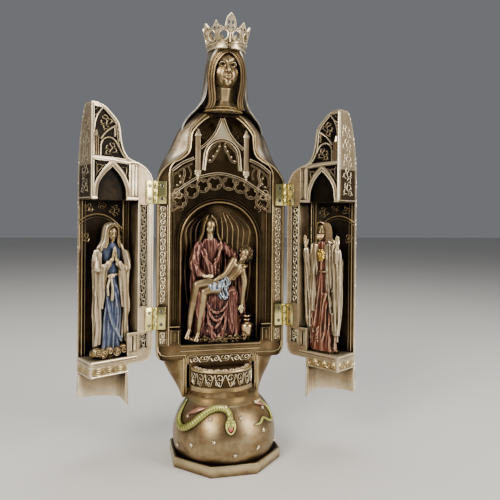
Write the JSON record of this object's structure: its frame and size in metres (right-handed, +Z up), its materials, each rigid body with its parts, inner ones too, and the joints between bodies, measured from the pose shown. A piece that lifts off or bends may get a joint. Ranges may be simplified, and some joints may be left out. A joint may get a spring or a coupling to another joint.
{
  "type": "opening shrine statuette",
  "caption": "Crowned and veiled half figure in cold-cast bronze whose body opens as a niche shrine with two hinged doors, on a globe and octagonal plinth.",
  "frame": {"origin": "centre of the octagonal plinth's underside", "axes": "+Z up the figure, -Y towards the viewer of the opened shrine, +X to the viewer's right"},
  "size_m": [0.1854, 0.071, 0.29],
  "materials": {
    "bronze": "antiqued cold-cast bronze, dark brown in the recesses",
    "rubbed_bronze": "cold-cast bronze rubbed pale on the raised faces",
    "brass": "pressed brass hinge, satin",
    "screw": "darkened small screw"
  },
  "bodies": {
    "shrine": {"left_lower_fixed_bottom_screw": "screw", "left_lower_fixed_leaf": "brass", "left_lower_fixed_top_screw": "screw", "left_lower_hinge_pin": "brass", "left_upper_fixed_bottom_screw": "screw", "left_upper_fixed_leaf": "brass", "left_upper_fixed_top_screw": "screw", "left_upper_hinge_pin": "brass", "mother_and_son_group": "bronze", "right_lower_fixed_bottom_screw": "screw", "right_lower_fixed_leaf": "brass", "right_lower_fixed_top_screw": "screw", "right_lower_hinge_pin": "brass", "right_upper_fixed_bottom_screw": "screw", "right_upper_fixed_leaf": "brass", "right_upper_fixed_top_screw": "screw", "right_upper_hinge_pin": "brass", "shrine_body": "bronze", "tracery_screen": "bronze"},
    "left_door_body": {"left_door": "rubbed_bronze", "left_lower_door_bottom_screw": "screw", "left_lower_door_leaf": "brass", "left_lower_door_top_screw": "screw", "left_upper_door_bottom_screw": "screw", "left_upper_door_leaf": "brass", "left_upper_door_top_screw": "screw", "praying_figure": "rubbed_bronze"},
    "right_door_body": {"blessing_figure": "rubbed_bronze", "right_door": "rubbed_bronze", "right_lower_door_bottom_screw": "screw", "right_lower_door_leaf": "brass", "right_lower_door_top_screw": "screw", "right_upper_door_bottom_screw": "screw", "right_upper_door_leaf": "brass", "right_upper_door_top_screw": "screw"}
  },
  "joints": [
    {"name": "left_door_hinge", "type": "hinge", "parent": "shrine", "child": "left_door_body", "pos_m": [-0.0455, 0.012, 0.13175], "axis": [0, 0, 1], "range_deg": [-26.4, 153.6]},
    {"name": "right_door_hinge", "type": "hinge", "parent": "shrine", "child": "right_door_body", "pos_m": [0.0455, 0.012, 0.13175], "axis": [0, 0, 1], "range_deg": [-122.6, 57.4]}
  ]
}
